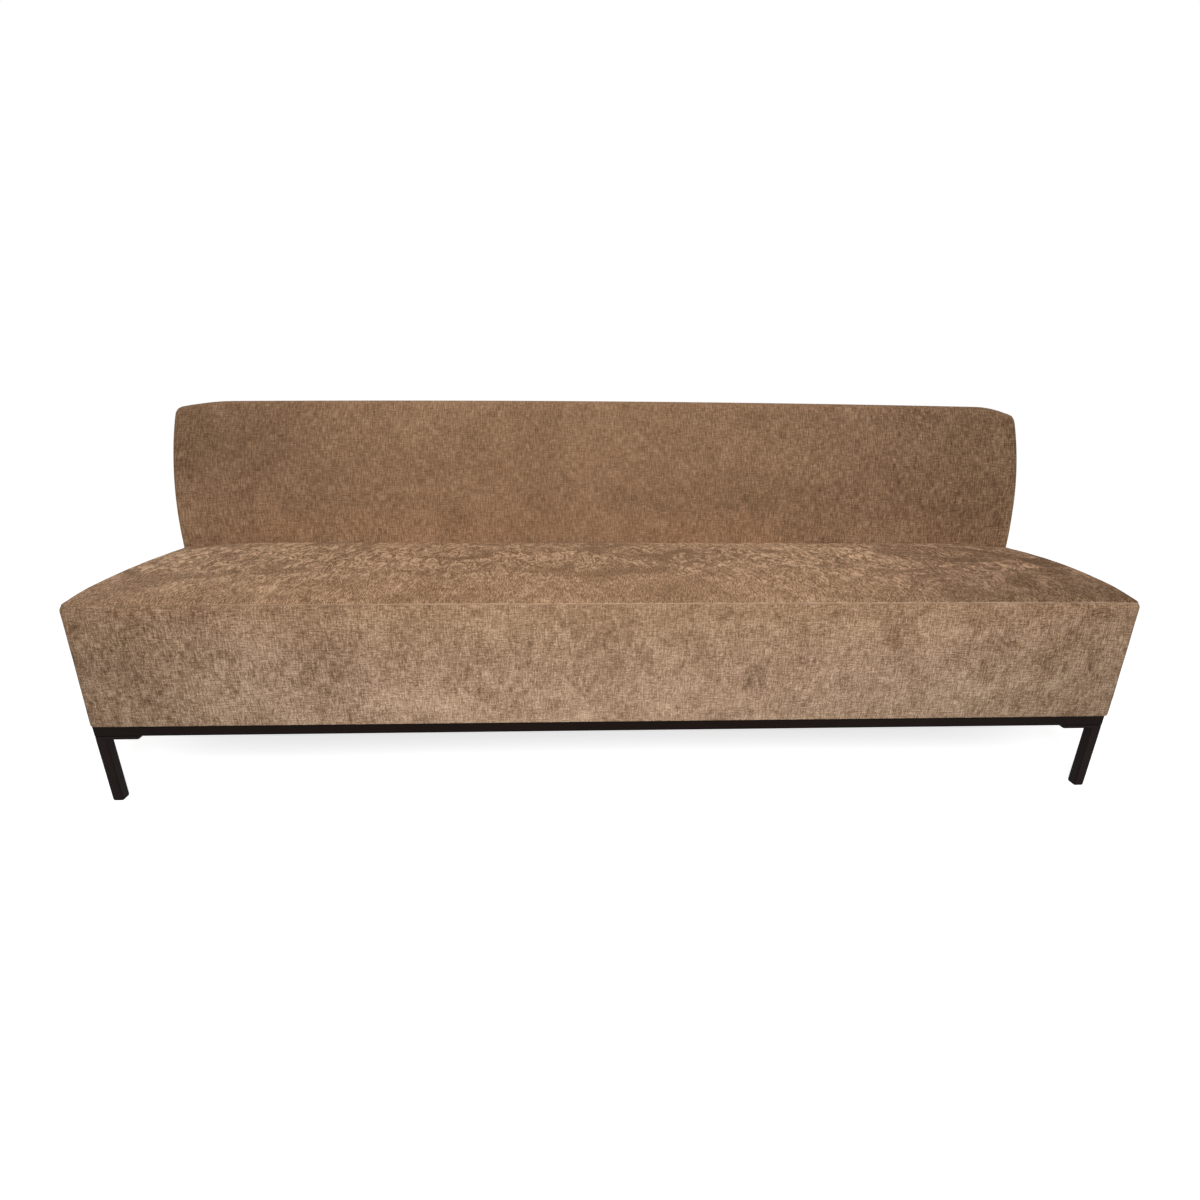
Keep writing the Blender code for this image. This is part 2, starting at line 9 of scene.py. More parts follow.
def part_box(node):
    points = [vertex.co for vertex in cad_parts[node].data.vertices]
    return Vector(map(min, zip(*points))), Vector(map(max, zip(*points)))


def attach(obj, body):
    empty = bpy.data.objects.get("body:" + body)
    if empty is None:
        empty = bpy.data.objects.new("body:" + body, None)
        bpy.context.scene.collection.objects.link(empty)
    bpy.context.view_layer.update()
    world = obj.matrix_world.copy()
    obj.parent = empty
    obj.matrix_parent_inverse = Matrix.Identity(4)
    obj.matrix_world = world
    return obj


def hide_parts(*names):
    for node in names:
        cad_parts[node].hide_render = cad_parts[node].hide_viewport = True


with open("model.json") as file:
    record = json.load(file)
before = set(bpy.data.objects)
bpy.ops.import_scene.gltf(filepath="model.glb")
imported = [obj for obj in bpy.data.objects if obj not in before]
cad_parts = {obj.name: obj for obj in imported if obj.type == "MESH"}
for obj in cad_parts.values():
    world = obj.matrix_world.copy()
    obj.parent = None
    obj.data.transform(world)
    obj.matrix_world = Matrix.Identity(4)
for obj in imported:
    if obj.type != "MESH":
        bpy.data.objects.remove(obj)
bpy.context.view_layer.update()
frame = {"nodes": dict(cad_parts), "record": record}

scene = bpy.context.scene
print("frame loaded,", len(frame["nodes"]), "nodes")


# Shared modelling steps

def smoothStep(low, high, value):
    t = min(1.0, max(0.0, (value - low) / (high - low)))
    return t * t * (3.0 - 2.0 * t)


def bump(distance, width):  # 1 at no distance, fading over the width
    return math.exp(-(distance / width) ** 2)


def blockBetween(low, high):
    low = Vector(low)
    high = Vector(high)
    bm = bmesh.new()
    size = Matrix.Diagonal((*(high - low), 1.0))
    bmesh.ops.create_cube(bm, size=1.0, matrix=Matrix.Translation((low + high) / 2) @ size)
    return bm


def liesAt(element, axis, value, reach=1e-5):
    return all(abs(v.co[axis] - value) < reach for v in element.verts)


def runsAlong(edge, axis):
    step = edge.verts[1].co - edge.verts[0].co
    return step.length - abs(step[axis]) < 1e-6


def roundEdges(bm, edges, radius, segments):
    bmesh.ops.bevel(
        bm, geom=edges, offset=radius, affect="EDGES", segments=segments, profile=0.5, material=-1
    )


def evenly(low, high, step):  # places between low and high, about a step apart
    count = max(1, round((high - low) / step))
    return [low + (high - low) * i / count for i in range(1, count)]


def cutAcross(bm, axis, places):
    normal = Vector((0.0, 0.0, 0.0))
    normal[axis] = 1.0
    for place in places:
        everything = [*bm.verts, *bm.edges, *bm.faces]
        bmesh.ops.bisect_plane(bm, geom=everything, dist=1e-5, plane_co=normal * place, plane_no=normal)


def makePiece(name, bm, materials):
    bmesh.ops.recalc_face_normals(bm, faces=bm.faces)
    mesh = bpy.data.meshes.new(name)
    bm.to_mesh(mesh)
    bm.free()
    mesh.shade_smooth()
    for material in materials:
        mesh.materials.append(material)
    piece = bpy.data.objects.new(name, mesh)
    scene.collection.objects.link(piece)
    return piece


def fitPiece(piece, nodes):
    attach(piece, "root")
    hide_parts(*nodes)


def subdivide(piece):
    smooth = piece.modifiers.new("smooth", "SUBSURF")
    smooth.levels = 1
    smooth.render_levels = 1


def swell(piece, sewn, plan):  # cloth under pressure, held where it is sewn or stapled
    group = piece.vertex_groups.new(name="sewn")
    group.add(sewn, 1.0, "REPLACE")
    cloth = piece.modifiers.new("cloth", "CLOTH")
    cloth.settings.vertex_group_mass = "sewn"
    cloth.settings.use_pressure = True
    cloth.settings.uniform_pressure_force = plan["pressure"]
    cloth.settings.effector_weights.gravity = 0.0
    cloth.collision_settings.use_collision = False
    cloth.point_cache.frame_end = plan["frames"]
    for step in range(1, plan["frames"] + 1):
        scene.frame_set(step)
    shown = piece.evaluated_get(bpy.context.evaluated_depsgraph_get())
    moves = [new.co - old.co for old, new in zip(piece.data.vertices, shown.data.vertices)]
    furthest = max(move.length for move in moves)
    share = min(1.0, plan["swell"] / furthest)
    for vertex, move in zip(piece.data.vertices, moves):
        vertex.co += move * share
    piece.modifiers.remove(cloth)
    scene.frame_set(1)
    print(piece.name, "swelled, its furthest point by", round(furthest * share * 1000, 1), "mm")


def sewSeam(mesh, offsets, plan):  # a raised line between two dips, and a mask for its painted highlight
    line = mesh.attributes.new("seamLine", "FLOAT", "POINT")
    normals = [v.normal.copy() for v in mesh.vertices]
    for vertex, offset, normal in zip(mesh.vertices, offsets, normals):
        if offset is None:
            continue
        ridge = bump(offset, plan["seamWidth"])
        dip = bump(abs(offset) - plan["seamDipAt"], plan["seamDipWidth"])
        uneven = 1.0 + plan["seamUneven"] * noise.noise(vertex.co * plan["seamUnevenScale"])
        vertex.co += normal * (plan["seamRidge"] * uneven * ridge - plan["seamDip"] * dip)
        line.data[vertex.index].value = ridge


def ripple(mesh, weights, plan):  # the slight unevenness of stuffing under stretched cloth
    normals = [v.normal.copy() for v in mesh.vertices]
    for vertex, weight, normal in zip(mesh.vertices, weights, normals):
        long = noise.noise(vertex.co * plan["rippleLong"])
        short = noise.noise(vertex.co * plan["rippleShort"] + plan["rippleShift"])
        vertex.co += normal * weight * plan["ripple"] * (long + plan["rippleShare"] * short)


def layCloth(mesh, places):  # the cloth's own coordinates in metres, for its yarns
    layer = mesh.uv_layers.new(name="clothUv")
    for loop in mesh.loops:
        layer.data[loop.index].uv = places[loop.vertex_index]


# Shared shader steps

def addNode(tree, kind, inputs=None, **settings):
    made = tree.nodes.new(kind)
    for key, value in settings.items():
        setattr(made, key, value)
    for key, value in (inputs or {}).items():
        if isinstance(value, bpy.types.NodeSocket):
            tree.links.new(value, made.inputs[key])
        else:
            made.inputs[key].default_value = value
    return made


def newGroup(name, inputs, outputs):
    tree = bpy.data.node_groups.new(name, "ShaderNodeTree")
    for label, kind, value in inputs:
        socket = tree.interface.new_socket(label, in_out="INPUT", socket_type=kind)
        if value is not None:
            socket.default_value = value
    for label in outputs:
        tree.interface.new_socket(label, in_out="OUTPUT", socket_type="NodeSocketFloat")
    return tree, tree.nodes.new("NodeGroupInput"), tree.nodes.new("NodeGroupOutput")


def stretched(tree, vector, scale, turn=0.0, shift=(0.0, 0.0, 0.0)):
    mapping = addNode(tree, "ShaderNodeMapping", {"Vector": vector})
    mapping.inputs["Location"].default_value = shift
    mapping.inputs["Rotation"].default_value = (0.0, 0.0, turn)
    mapping.inputs["Scale"].default_value = scale
    return mapping.outputs["Vector"]


def cloud(tree, vector, scale=1.0, detail=2.0, roughness=0.5, distortion=0.0, flat=False):
    made = addNode(
        tree, "ShaderNodeTexNoise",
        {
            "Vector": vector, "Scale": scale, "Detail": detail,
            "Roughness": roughness, "Distortion": distortion,
        },
        noise_dimensions="2D" if flat else "3D",
    )
    return made.outputs["Fac"]


def combined(tree, operation, first, second):
    return addNode(tree, "ShaderNodeMath", {0: first, 1: second}, operation=operation).outputs[0]


def weighted(tree, start, terms):  # start plus each value's swing about its middle, times its weight
    total = start
    for value, weight, middle in terms:
        swing = combined(tree, "SUBTRACT", value, middle)
        added = addNode(tree, "ShaderNodeMath", {0: swing, 1: weight, 2: total}, operation="MULTIPLY_ADD")
        total = added.outputs[0]
    return total


def between(tree, value, low, high):  # 0 below low, 1 above high
    made = addNode(
        tree, "ShaderNodeMapRange", {"Value": value, "From Min": low, "From Max": high},
        interpolation_type="SMOOTHSTEP",
    )
    return made.outputs["Result"]


# Pile and yarns of the chenille, in repeats for each metre
pile = {
    "strokes": (50.0, 21.0, 1.0),  # single strokes, turned a little
    "strokesTurn": 0.2,
    "strokesShow": (0.42, 0.72),
    "brushed": (5.0, 7.5, 7.5),  # where the strokes gather
    "brushedTurn": 0.4,
    "brushedShow": (0.33, 0.58),
    "patch": 6.0,
    "blotch": 27.0,
    "fleck": 290.0,
    "warp": (330.0, 46.0, 1.0),
    "weft": (50.0, 330.0, 1.0),
    "weftShift": (3.0, 8.0, 0.0),
    "middle": {"Patch": 0.5, "Blotch": 0.5, "Crush": 0.13, "Warp": 0.5, "Weft": 0.5, "Fleck": 0.5},
    "height": {"Warp": 0.8, "Weft": 0.6, "Fleck": 0.7, "Crush": 0.2},
}


def crushedPileGroup():  # tone and height of a chenille whose pile is brushed both ways
    middle = pile["middle"]
    tree, given, out = newGroup(
        "crushedPile",
        [
            ("Cloth", "NodeSocketVector", None),
            ("Place", "NodeSocketVector", None),
            *[(label, "NodeSocketFloat", 1.0) for label in middle],
        ],
        ["Tone", "Height"],
    )
    cloth = given.outputs["Cloth"]
    place = given.outputs["Place"]
    strokes = stretched(tree, cloth, pile["strokes"], pile["strokesTurn"])
    strokes = cloud(tree, strokes, detail=7.0, roughness=0.84, distortion=0.8, flat=True)
    brushed = stretched(tree, place, pile["brushed"], pile["brushedTurn"])
    brushed = cloud(tree, brushed, detail=4.0, roughness=0.62, distortion=0.9)
    warp = stretched(tree, cloth, pile["warp"])
    weft = stretched(tree, cloth, pile["weft"], shift=pile["weftShift"])
    parts = {
        "Patch": cloud(tree, place, pile["patch"], detail=3.0, roughness=0.6, distortion=0.8),
        "Blotch": cloud(tree, place, pile["blotch"], detail=5.0, roughness=0.72, distortion=0.9),
        "Crush": combined(
            tree, "MULTIPLY",
            between(tree, strokes, *pile["strokesShow"]), between(tree, brushed, *pile["brushedShow"]),
        ),
        "Warp": cloud(tree, warp, roughness=0.65, distortion=0.2, flat=True),
        "Weft": cloud(tree, weft, roughness=0.65, distortion=0.3, flat=True),
        "Fleck": cloud(tree, cloth, pile["fleck"], roughness=0.75, flat=True),
    }
    tones = [(parts[label], given.outputs[label], middle[label]) for label in middle]
    heights = [(parts[label], weight, middle[label]) for label, weight in pile["height"].items()]
    tree.links.new(weighted(tree, 0.5, tones), out.inputs["Tone"])
    tree.links.new(weighted(tree, 0.5, heights), out.inputs["Height"])
    return tree


def surfaceGrainGroup():  # fine unevenness of a coated, moulded or sawn surface
    tree, given, out = newGroup(
        "surfaceGrain",
        [
            ("Place", "NodeSocketVector", None),
            ("Scale", "NodeSocketFloat", 400.0),
            ("Roughness", "NodeSocketFloat", 0.4),
            ("Swing", "NodeSocketFloat", 0.2),
        ],
        ["Roughness", "Height", "Wear"],
    )
    place = given.outputs["Place"]
    fine = cloud(tree, place, given.outputs["Scale"], detail=3.0, roughness=0.6)
    broad = cloud(tree, place, scale=11.0, detail=3.0, roughness=0.6)
    swing = given.outputs["Swing"]
    rough = weighted(tree, given.outputs["Roughness"], [(broad, swing, 0.5), (fine, swing, 0.5)])
    tree.links.new(rough, out.inputs["Roughness"])
    tree.links.new(fine, out.inputs["Height"])
    tree.links.new(broad, out.inputs["Wear"])
    return tree


crushedPile = crushedPileGroup()
surfaceGrain = surfaceGrainGroup()


def ramp(tree, value, stops):  # each stop has a colour or a grey level
    made = addNode(tree, "ShaderNodeValToRGB", {"Fac": value})
    elements = made.color_ramp.elements
    while len(elements) < len(stops):
        elements.new(1.0)
    for element, (position, colour) in zip(elements, stops):
        element.position = position
        element.color = (colour, colour, colour, 1.0) if isinstance(colour, float) else (*colour, 1.0)
    return made.outputs["Color"]


def newMaterial(name):
    material = bpy.data.materials.new(name)
    material.use_nodes = True
    tree = material.node_tree
    return material, tree, tree.nodes["Principled BSDF"]


def setNormal(tree, shader, height, strength, distance):
    made = addNode(tree, "ShaderNodeBump", {"Height": height, "Strength": strength, "Distance": distance})
    tree.links.new(made.outputs["Normal"], shader.inputs["Normal"])


# Chenille upholstery: one cloth, with its pile lying differently on each panel, and with light and shade
# painted over each panel by position
chenille = {
    "top": {
        "dark": (0.154, 0.085, 0.0455), "middle": (0.285, 0.165, 0.093), "light": (0.482, 0.314, 0.198),
        "patch": 0.25, "blotch": 0.55, "warp": 1.45, "weft": 0.6, "fleck": 2.0,
        "crush": (0.55, 1.9),  # at the front and further back
        "swing": (1.25, 0.94, 1.62),  # contrast at the left, in the middle and at the right
        "seam": 0.12,
        "wearAndHighlight": 1.0,
        "shift": (7.85, 2.80, -6.72),
        "yarn": (1.2, 1.7, 1.0),
        # along, across and tint: painted light and shade mixed with the pile's own tone; across darkens
        # the front roll-over where the lamp falls hardest and lightens the rear
        "along": [
            (0.0, (1.32, 1.35, 1.37)), (0.3, (1.02, 0.99, 0.96)), (0.5, (1.0, 0.98, 0.96)),
            (0.72, (1.12, 1.12, 1.11)), (1.0, (0.88, 0.84, 0.81)),
        ],
        "second": "Y",
        "across": {
            "left": [(0.0, 0.76), (0.1, 0.93), (0.3, 0.96), (0.65, 1.05), (1.0, 1.05)],
            "middle": [(0.0, 0.74), (0.1, 0.94), (0.5, 1.0), (1.0, 1.2)],
            "right": [(0.0, 0.60), (0.12, 0.74), (0.28, 0.90), (0.45, 1.08), (0.65, 1.18), (1.0, 1.2)],
        },
        "tint": [(0.0, (1.0, 0.99, 0.98)), (0.1, 1.0), (1.0, 1.0)],
    },
    "border": {
        "dark": (0.164, 0.0965, 0.0555), "middle": (0.299, 0.190, 0.120), "light": (0.485, 0.341, 0.234),
        "patch": 0.5, "blotch": 0.88, "warp": 0.98, "weft": 0.92, "fleck": 1.0,
        "crush": (-0.36, -0.36),
        "swing": (1.18, 0.95, 1.18),
        "seam": 0.12,
        "wearAndHighlight": 1.0,
        "shift": (15.68, 4.15, -3.42),
        "yarn": (1.0, 1.0, 1.0),
        # along, across and tint: painted light and shade mixed with the pile's own tone; across lightens
        # the lower border and darkens its top as painted bounce light
        "along": [(0.0, (0.90, 0.89, 0.88)), (0.13, 0.98), (0.3, 1.04), (0.5, 1.0), (1.0, 1.03)],
        "second": "Z",
        "across": {
            "left": [(0.0, 1.09), (0.5, 0.97), (0.8, 0.97), (1.0, 0.95)],
            "middle": [(0.0, 1.12), (0.5, 0.96), (0.8, 0.87), (1.0, 0.79)],
            "right": [(0.0, 0.96), (0.3, 0.95), (0.6, 0.97), (0.8, 0.90), (1.0, 0.83)],
        },
        "tint": [
            (0.0, (1.0, 1.03, 1.05)), (0.5, 1.0), (0.8, (1.01, 0.98, 0.93)), (1.0, (1.01, 0.94, 0.86))
        ],
    },
    "back": {
        "dark": (0.140, 0.078, 0.042), "middle": (0.235, 0.135, 0.076), "light": (0.360, 0.226, 0.136),
        "patch": 0.4, "blotch": 0.66, "warp": 1.3, "weft": 0.9, "fleck": 0.7,
        "crush": (-0.14, -0.14),
        "swing": (1.06, 0.88, 1.35),
        "seam": 1.0,
        "wearAndHighlight": 1.36,  # painted highlight: the top edge is painted lighter where it turns away from the lamps
        "shift": (16.66, -8.63, -4.13),
        "yarn": (1.0, 1.0, 1.0),
        # along, across and tint: painted light and shade mixed with the pile's own tone; across lifts the
        # bottom where the seat shades it
        "along": [(0.0, 0.97), (0.1, 1.04), (0.35, 1.03), (0.7, 0.96), (1.0, 0.86)],
        "second": "Z",
        "across": {
            "left": [(0.44, 1.32), (0.58, 1.14), (0.72, 0.90), (0.86, 0.86), (1.0, 0.92)],
            "middle": [(0.44, 1.25), (0.6, 1.0), (1.0, 0.98)],
            "right": [(0.44, 1.32), (0.58, 1.08), (0.72, 1.0), (1.0, 0.95)],
        },
        "tint": [(0.0, 1.0), (1.0, 1.0)],
    },
    "crushFrom": (0.05, 0.6),
    "swingAt": (0.1, 0.5, 0.9),
    "toneSpan": (-0.3, 1.3),
    "deepest": 0.6,  # of the dark tone
    "brightest": 1.32,  # of the light tone
    "leftFade": (0.02, 0.22),
    "rightFade": (0.6, 0.95),
    "dashes": (26.0, 3.0, 1.0),  # painted highlight: the seam catches the light in dashes
    "dashesShow": (0.34, 0.62),
    "seamFade": (0.06, 0.34),
    "seamLight": (0.460, 0.325, 0.220),
    "roughness": 0.95,
    "specular": 0.05,
    "sheen": 0.08,
    "sheenRoughness": 0.45,
    "sheenTint": (0.80, 0.62, 0.46),
    "bumpStrength": 0.5,
    "bumpDepth": 0.0012,
}


def mixed(tree, share, first, second, blend="MIX"):
    given = {"Factor": share, "A": first, "B": second}
    made = addNode(tree, "ShaderNodeMix", given, data_type="RGBA", blend_type=blend)
    return made.outputs["Result"]


def spread(tree, value, low, high, first=0.0, last=1.0):
    made = addNode(
        tree, "ShaderNodeMapRange",
        {"Value": value, "From Min": low, "From Max": high, "To Min": first, "To Max": last},
    )
    return made.outputs["Result"]


def chenilleMaterial(name, look, low, high):
    material, tree, shader = newMaterial(name)
    cloth = addNode(tree, "ShaderNodeUVMap", uv_map="clothUv").outputs["UV"]
    place = addNode(tree, "ShaderNodeTexCoord").outputs["Object"]
    sides = addNode(tree, "ShaderNodeSeparateXYZ", {"Vector": place}).outputs
    axis = look["second"]
    reach = spread(tree, sides[axis], getattr(low, axis.lower()), getattr(high, axis.lower()))
    side = spread(tree, sides["X"], low.x, high.x)
    crush = spread(tree, between(tree, reach, *chenille["crushFrom"]), 0.0, 1.0, *look["crush"])
    given = {label: look[label.lower()] for label in ("Patch", "Blotch", "Warp", "Weft", "Fleck")}
    given["Cloth"] = stretched(tree, cloth, look["yarn"])
    given["Place"] = stretched(tree, place, (1.0, 1.0, 1.0), shift=look["shift"])
    given["Crush"] = crush
    brushed = addNode(tree, "ShaderNodeGroup", given, node_tree=crushedPile)
    swing = ramp(tree, side, list(zip(chenille["swingAt"], look["swing"])))
    tone = weighted(tree, 0.5, [(brushed.outputs["Tone"], swing, 0.5)])
    deepest = [chenille["deepest"] * c for c in look["dark"]]
    brightest = [chenille["brightest"] * c for c in look["light"]]
    colour = ramp(tree, spread(tree, tone, *chenille["toneSpan"]), [
        (0.0, deepest), (0.25, look["dark"]), (0.5, look["middle"]),
        (0.75, look["light"]), (1.0, brightest),
    ])
    # painted light and shade across each panel, blended from its left end through its middle to its right
    # end
    ends = {end: ramp(tree, reach, stops) for end, stops in look["across"].items()}
    shade = mixed(tree, between(tree, side, *chenille["leftFade"]), ends["left"], ends["middle"])
    shade = mixed(tree, between(tree, side, *chenille["rightFade"]), shade, ends["right"])
    # painted highlight: a mask that lightens the back's top edge
    wearAndHighlight = addNode(tree, "ShaderNodeAttribute", attribute_name="wearAndHighlight").outputs["Fac"]
    wearAndHighlight = spread(tree, wearAndHighlight, 0.0, 1.0, 1.0, look["wearAndHighlight"])
    # the painted light and shade, and the painted highlight on the back's top edge, multiply the cloth's
    # colour
    for layer in (ramp(tree, side, look["along"]), ramp(tree, reach, look["tint"]), shade, wearAndHighlight):
        colour = mixed(tree, 1.0, colour, layer, "MULTIPLY")
    # painted highlight along the seam ridge, in dashes
    seam = addNode(tree, "ShaderNodeAttribute", attribute_name="seamLine").outputs["Fac"]
    dashes = stretched(tree, cloth, chenille["dashes"])
    dashes = cloud(tree, dashes, detail=3.0, roughness=0.7, flat=True)
    dashes = between(tree, dashes, *chenille["dashesShow"])
    faded = spread(tree, side, *chenille["seamFade"], look["seam"], 1.0)
    seam = combined(tree, "MULTIPLY", seam, combined(tree, "MULTIPLY", dashes, faded))
    colour = mixed(tree, seam, colour, (*chenille["seamLight"], 1.0))
    tree.links.new(colour, shader.inputs["Base Color"])
    shader.inputs["Roughness"].default_value = chenille["roughness"]
    shader.inputs["Specular IOR Level"].default_value = chenille["specular"]
    shader.inputs["Sheen Weight"].default_value = chenille["sheen"]
    shader.inputs["Sheen Roughness"].default_value = chenille["sheenRoughness"]
    shader.inputs["Sheen Tint"].default_value = (*chenille["sheenTint"], 1.0)
    setNormal(tree, shader, brushed.outputs["Height"], chenille["bumpStrength"], chenille["bumpDepth"])
    return material


seatLow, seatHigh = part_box("seat_cover")
backLow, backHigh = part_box("back_cover")
chenilleTop = chenilleMaterial("chenilleTop", chenille["top"], seatLow, seatHigh)
chenilleBorder = chenilleMaterial("chenilleBorder", chenille["border"], seatLow, seatHigh)
chenilleBack = chenilleMaterial("chenilleBack", chenille["back"], backLow, backHigh)
print("chenille ready")


# Seat: a boxed cushion form with a top panel sewn to a border along the front and the ends
seat = {
    "step": 0.0138,  # mesh spacing
    "cornerRadius": 0.017,
    "cornerSegments": 6,
    "cornerHold": 0.004,  # round a front corner, packed hard
    "edgeRadius": 0.018,
    "edgeSegments": 12,
    "hemRadius": 0.003,
    "hemSegments": 3,
    "bulge": 0.004,  # front border at half height
    "dome": 0.0207,  # crown above the top edge
    "endRise": 0.0105,
    "endTilt": 0.0035,  # the right end is a little fuller than the left
    "endLean": ((0.0, -0.006), (0.003, -0.002)),  # each end, at the hem and at the top
    "endFrom": 0.9,
    "crown": 0.0125,
    "crownSweep": 2.1,
    "rear": 0.0086,  # the stuffing is fullest along the back
    "rearSpread": 0.7,
    "rearFrom": (0.35, 0.95),
    "rearEnds": (1.0, 0.78),
    "frontDrop": 0.0035,  # the top falls a little more towards the front seam
    "frontReach": 0.10,
    "cornerDrop": 0.003,
    "cornerReach": 0.085,
    "start": 0.72,  # share of the crown before the padding swells
    "pressure": 1.0,
    "frames": 20,
    "swell": 0.006,
    "rearHold": 0.002,  # cloth held along the rear
    "seamHold": 0.1,  # angle held on both sides of the seam
    "panelSlack": 0.01,
    "fill": 0.9,
    "ripple": 0.0009,
    "rippleLong": 6.0,
    "rippleShort": 21.0,
    "rippleShare": 0.35,  # of the short ones
    "rippleShift": Vector((7.0, 3.0, 5.0)),
    "rippleFrom": (0.006, 0.07),  # distances from a seam where the unevenness starts and is full
    "seamWidth": 0.0013,
    "seamRidge": 0.0011,
    "seamDipAt": 0.0034,
    "seamDipWidth": 0.0018,
    "seamDip": 0.0008,
    "seamUneven": 0.5,
    "seamUnevenScale": 55.0,
}
seatFront = seatLow.y + seat["bulge"]
seatTop = seatHigh.z - seat["dome"]
seatSeam = math.pi / 4  # the seam lies half way round the edge


def seatLift(x, y):
    deep = (y - seatFront) / (seatHigh.y - seatFront)
    along = x / seatHigh.x
    ends = (seat["endRise"] + seat["endTilt"] * (1.0 + along)) * math.sin(math.pi * deep)
    rear = seat["rear"] * (1.0 + seat["rearSpread"] * along ** 2)
    rear *= smoothStep(*seat["rearEnds"], abs(along)) * smoothStep(*seat["rearFrom"], deep)
    return ends + rear + seat["crown"] * (1.0 - along ** 2) * math.sin(seat["crownSweep"] * deep)


def seatWall(point):  # how far a point of the flat form lies inside the border, seen from above
    corner = seat["cornerRadius"]
    across = abs(point.x) - (seatHigh.x - corner)
    ahead = seatFront + corner - point.y
    if across > 0.0 and ahead > 0.0:
        return corner - math.hypot(across, ahead)
    return corner - max(across, ahead)


def seatTurn(point):  # 0 on the border, a quarter turn on the top panel
    radius = seat["edgeRadius"]
    out = max(0.0, radius - seatWall(point))
    up = max(0.0, point.z - (seatTop - radius))
    return math.atan2(up, out) if up or out else math.pi / 2


def isSewn(point, turn):  # held at the hem, along the rear, at the seam and on the front corners
    across = abs(point.x) - (seatHigh.x - seat["cornerRadius"])
    ahead = seatFront + seat["cornerRadius"] - point.y
    atHem = point.z <= seatLow.z + seat["hemRadius"]
    atRear = point.y > seatHigh.y - seat["rearHold"]
    atSeam = abs(turn - seatSeam) < seat["seamHold"]
    return atHem or atRear or atSeam or min(across, ahead) > -seat["cornerHold"]


def seatCloth(point, turn):
    if turn > seatSeam:
        return point.x, point.y
    corner = seat["cornerRadius"]
    side = math.copysign(1.0, point.x)
    across = abs(point.x) - (seatHigh.x - corner)
    behind = point.y - seatFront - corner
    if across <= 0.0:
        return point.x, point.z
    if behind < 0.0:
        return side * (seatHigh.x - corner + corner * math.atan2(across, -behind)), point.z
    return side * (seatHigh.x - corner + corner * math.pi / 2 + behind), point.z


def buildSeat():
    bm = blockBetween((seatLow.x, seatFront, seatLow.z), (seatHigh.x, seatHigh.y, seatTop))
    corners = [e for e in bm.edges if runsAlong(e, 2) and liesAt(e, 1, seatFront)]
    roundEdges(bm, corners, seat["cornerRadius"], seat["cornerSegments"])
    edge = [e for e in bm.edges if liesAt(e, 2, seatTop)]
    roundEdges(bm, edge, seat["edgeRadius"], seat["edgeSegments"])
    hem = [e for e in bm.edges if liesAt(e, 2, seatLow.z)]
    roundEdges(bm, hem, seat["hemRadius"], seat["hemSegments"])
    margin = seat["cornerRadius"]
    cutAcross(bm, 2, evenly(seatLow.z + seat["hemRadius"], seatTop - seat["edgeRadius"], seat["step"]))
    cutAcross(bm, 1, evenly(seatFront + margin, seatHigh.y - margin, seat["step"]))
    cutAcross(bm, 0, evenly(seatLow.x + margin, seatHigh.x - margin, seat["step"]))
    piece = makePiece("seat_upholstery", bm, [chenilleTop, chenilleBorder])
    mesh = piece.data
    flat = [v.co.copy() for v in mesh.vertices]
    turns = [seatTurn(p) for p in flat]
    low = seatLow.z + seat["hemRadius"]
    for vertex, point in zip(mesh.vertices, flat):
        up = smoothStep(low, seatTop - seat["edgeRadius"], point.z)
        along = point.x / seatHigh.x
        ahead = smoothStep(seat["cornerRadius"], 0.0, point.y - seatFront)
        middle = math.sin(math.pi * (point.z - seatLow.z) / (seatTop - seatLow.z))
        corner = math.hypot(seatHigh.x - abs(point.x), point.y - seatFront)
        drop = seat["cornerDrop"] * smoothStep(seat["cornerReach"], 0.0, corner)
        drop += seat["frontDrop"] * max(0.0, 1.0 - (point.y - seatFront) / seat["frontReach"]) ** 2
        vertex.co.z += (seat["start"] * seatLift(point.x, point.y) - drop) * up
        vertex.co.y -= seat["bulge"] * (1.0 - along ** 4) * max(0.0, middle) * ahead
        atHem, atTop = seat["endLean"][0 if along < 0.0 else 1]
        lean = atHem + (atTop - atHem) * (point.z - seatLow.z) / (seatTop - seatLow.z)
        vertex.co.x += math.copysign(1.0, along) * lean * smoothStep(seat["endFrom"], 1.0, abs(along))
    swell(piece, [i for i, place in enumerate(zip(flat, turns)) if isSewn(*place)], seat)
    weights = []
    for point, turn in zip(flat, turns):
        inside = seatWall(point) if turn > seatSeam else seatTop - point.z
        inside = min(inside, seatHigh.y - point.y, point.z - seatLow.z)
        weights.append(smoothStep(*seat["rippleFrom"], inside))
    ripple(mesh, weights, seat)
    offsets = [
        (turn - seatSeam) * seat["edgeRadius"] if point.y < seatHigh.y - seat["edgeRadius"] else None
        for point, turn in zip(flat, turns)
    ]
    sewSeam(mesh, offsets, seat)
    layCloth(mesh, [seatCloth(point, turn) for point, turn in zip(flat, turns)])
    for face in mesh.polygons:
        onTop = all(turns[i] > seatSeam - seat["panelSlack"] for i in face.vertices)
        face.material_index = 0 if onTop else 1
    subdivide(piece)
    fitPiece(piece, [
        "seat_cover", "seat_foam", "seat_padding_front", "seat_padding_left", "seat_padding_right"
    ])


buildSeat()
print("seat done")


